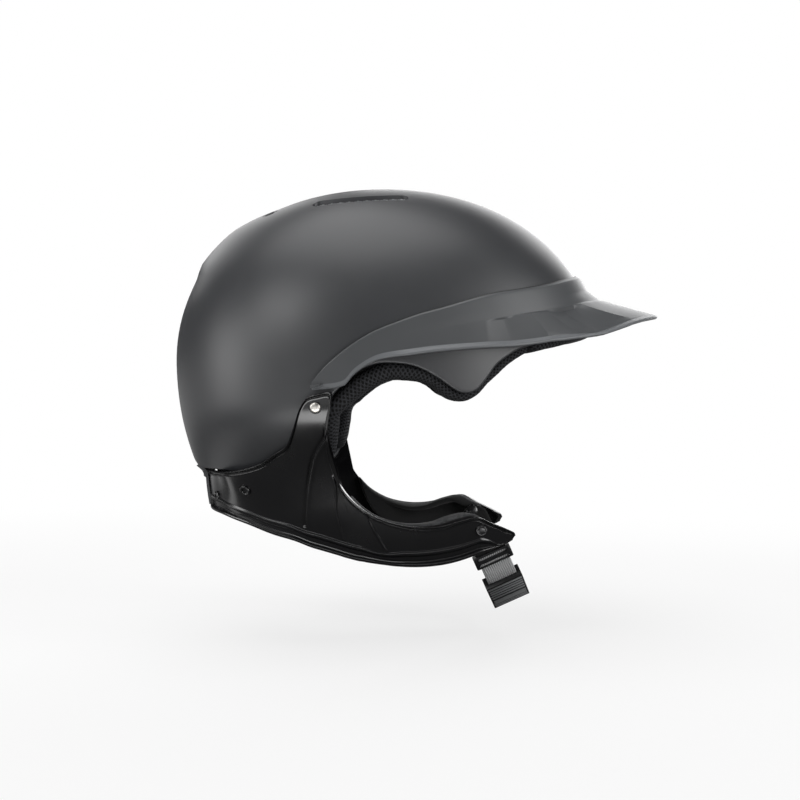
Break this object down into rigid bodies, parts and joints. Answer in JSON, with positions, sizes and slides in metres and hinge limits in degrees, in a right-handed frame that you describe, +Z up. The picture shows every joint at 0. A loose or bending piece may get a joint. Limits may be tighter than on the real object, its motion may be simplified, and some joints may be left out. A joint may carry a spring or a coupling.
{
  "type": "riding helmet",
  "caption": "Open-face riding helmet with a sun peak riveted to the shell, jaw guards, mesh padding and a chin strap that closes with a side-release buckle.",
  "frame": {"origin": "middle of the line between the wearer's two ear canals", "axes": "+X points forwards, +Y to the wearer's left, +Z up towards the crown"},
  "size_m": [0.3074, 0.2146, 0.2665],
  "materials": {
    "shell": "satin moulded shell, dark grey",
    "peak_plastic": "satin grey, lighter than the shell",
    "guard_plastic": "glossy black",
    "foam": "black expanded foam",
    "lining_cloth": "soft black knitted lining",
    "spacer_mesh": "black spacer mesh with small cells",
    "felt": "dark grey felt",
    "bright_metal": "bright rivet metal",
    "black_metal": "black coated screws",
    "wire_mesh": "woven wire, dark",
    "keeper_plastic": "satin grey bent tab",
    "dark_plastic": "black plastic",
    "buckle_plastic": "black moulded buckle, ribbed",
    "webbing": "grey woven webbing"
  },
  "bodies": {
    "helmet": {"outer_shell": "shell", "impact_liner": "foam", "crown_pad": "lining_cloth", "brow_pad": "lining_cloth", "rear_pad": "lining_cloth", "brow_rim": "spacer_mesh", "ear_rim_right": "spacer_mesh", "ear_rim_left": "spacer_mesh", "peak": "peak_plastic", "peak_studs": "bright_metal", "jaw_guard_right": "guard_plastic", "jaw_guard_left": "guard_plastic", "jaw_pad_right": "felt", "jaw_pad_left": "felt", "nape_pad": "spacer_mesh", "nape_bridge": "dark_plastic", "nape_screws": "black_metal", "strap_keeper": "keeper_plastic", "keeper_rivet": "bright_metal", "vent_grille_right": "wire_mesh", "vent_grille_left": "wire_mesh", "crown_plug_right": "dark_plastic", "crown_plug_left": "dark_plastic", "guard_rivet_right": "bright_metal", "guard_rivet_left": "bright_metal", "rivet_washer_right": "bright_metal", "rivet_washer_left": "bright_metal", "rear_screw_right": "black_metal", "rear_screw_left": "black_metal", "rear_nut_right": "bright_metal", "rear_nut_left": "bright_metal", "strap_stud_right": "black_metal", "strap_stud_left": "black_metal"},
    "chin_strap": {"webbing_right": "webbing", "webbing_left": "webbing", "buckle_socket": "buckle_plastic"},
    "slider": {"length_slider": "dark_plastic"},
    "plug": {"buckle_plug": "buckle_plastic"},
    "front_prong": {"prong_front": "dark_plastic"},
    "rear_prong": {"prong_rear": "dark_plastic"}
  },
  "joints": [
    {"name": "chin_strap_swing", "type": "hinge", "parent": "helmet", "child": "chin_strap", "pos_m": [0.0585, 0, -0.054], "axis": [0, 1, 0], "range_deg": [-40, 15]},
    {"name": "slider_slide", "type": "slide", "parent": "chin_strap", "child": "slider", "axis": [0.391, 0.2756, -0.8782], "range_m": [0, 0.004]},
    {"name": "plug_release", "type": "slide", "parent": "chin_strap", "child": "plug", "axis": [0.2274, 0.829, -0.5108], "range_m": [0, 0.018], "deforming": ["webbing_left"]},
    {"name": "front_prong_flex", "type": "hinge", "parent": "plug", "child": "front_prong", "pos_m": [0.08266, -0.02046, -0.09301], "axis": [0.3372, -0.5592, -0.7574], "range_deg": [0, 6], "stiffness_Nm_per_rad": 0.05},
    {"name": "rear_prong_flex", "type": "hinge", "parent": "plug", "child": "rear_prong", "pos_m": [0.07133, -0.02046, -0.09806], "axis": [-0.3372, 0.5592, 0.7574], "range_deg": [0, 6], "stiffness_Nm_per_rad": 0.05}
  ]
}
